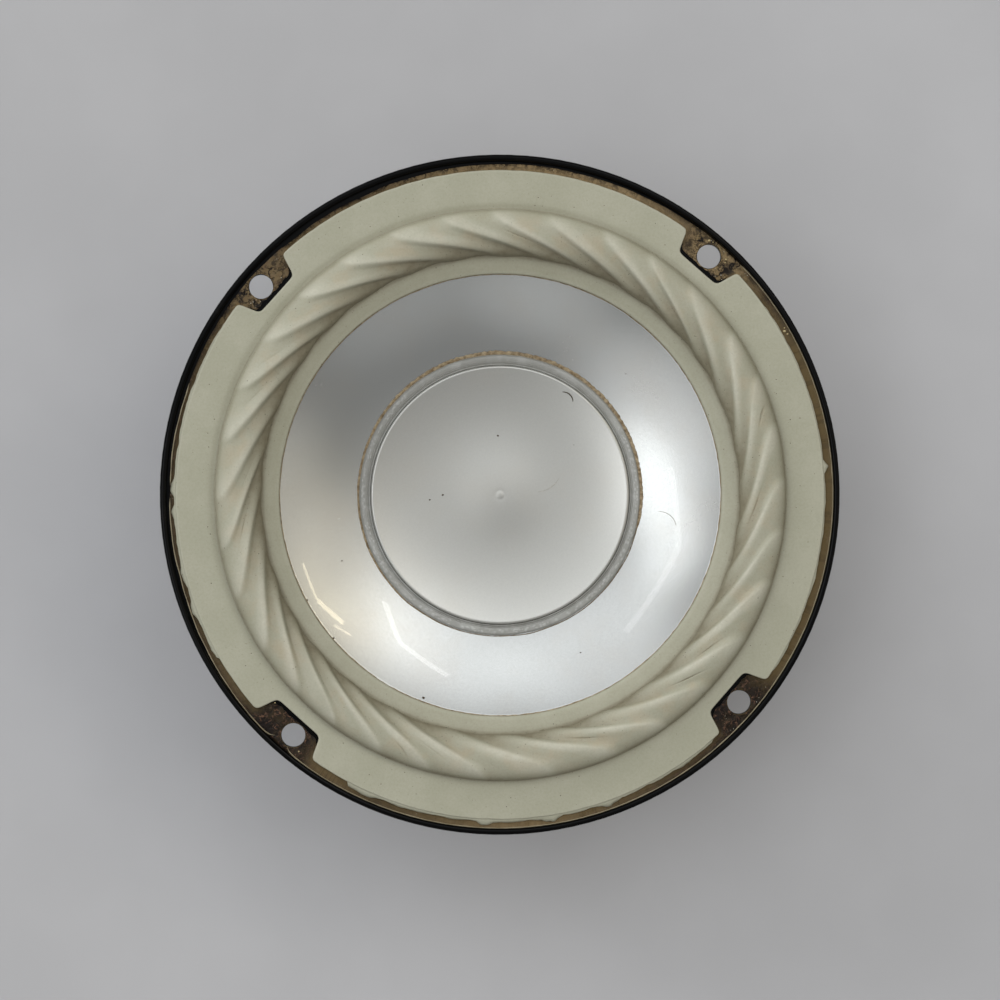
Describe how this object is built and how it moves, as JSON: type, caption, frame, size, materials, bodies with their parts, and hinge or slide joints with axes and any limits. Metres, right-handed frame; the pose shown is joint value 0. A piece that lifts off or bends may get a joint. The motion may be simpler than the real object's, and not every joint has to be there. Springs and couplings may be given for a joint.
{
  "type": "car subwoofer speaker",
  "caption": "Round car subwoofer driver with a black pressed-steel basket, ferrite motor, silver dish cone and dust cap, and a twisted-rope rubber surround.",
  "frame": {"origin": "centre of the mounting face, the flat rear of the rim that lies on the baffle", "axes": "+Z along the speaker's axis, out of the front; -Y towards the terminals"},
  "size_m": [0.165, 0.165, 0.0661],
  "materials": {
    "basket_paint": "gloss black enamel over pressed steel",
    "aged_contact_glue": "dried brown contact glue, crackled",
    "surround_rubber": "grey-green rubber, satin",
    "cone_paint": "silver metallic lacquer on a moulded cone, satin",
    "cap_paint": "silver grey lacquer, satin",
    "clear_glue": "clear glue with bubbles",
    "black_glue": "cured black adhesive",
    "kapton_former": "amber film former",
    "copper_wire": "enamelled copper winding, lacquered",
    "kraft_paper": "kraft paper wrap",
    "solder": "dull solder",
    "spider_cloth": "resin-dipped woven cloth",
    "zinc_steel": "zinc-plated low-carbon steel",
    "ferrite": "ground sintered ferrite",
    "rivet_steel": "plated steel rivets",
    "phenolic_board": "brown phenolic board",
    "brass_tab": "tin-flashed brass blades",
    "tinsel_braid": "braided tinsel wire"
  },
  "bodies": {
    "chassis": {"basket": "basket_paint", "rim_adhesive": "aged_contact_glue", "spider_adhesive": "aged_contact_glue", "top_plate": "zinc_steel", "magnet": "ferrite", "t_yoke": "zinc_steel", "magnet_front_adhesive": "black_glue", "magnet_rear_adhesive": "black_glue", "basket_rivets": "rivet_steel", "terminal_board": "phenolic_board", "terminal_tab_positive": "brass_tab", "terminal_tab_negative": "brass_tab", "terminal_rivets": "rivet_steel", "terminal_solder_joints": "solder"},
    "diaphragm": {"cone": "cone_paint", "surround": "surround_rubber", "dust_cap": "cap_paint", "cap_glue_bead": "clear_glue", "cap_glue_line": "aged_contact_glue", "neck_glue": "black_glue", "voice_coil_former": "kapton_former", "coil_winding": "copper_wire", "coil_collar": "kraft_paper", "coil_solder_joints": "solder", "spider": "spider_cloth", "tinsel_lead_positive": "tinsel_braid", "tinsel_lead_negative": "tinsel_braid"}
  },
  "joints": [
    {"name": "cone_travel", "type": "slide", "parent": "chassis", "child": "diaphragm", "axis": [0, 0, 1], "range_m": [-0.007, 0.007], "stiffness_N_per_m": 1800, "deforming": ["surround", "spider", "tinsel_lead_positive", "tinsel_lead_negative"]}
  ]
}
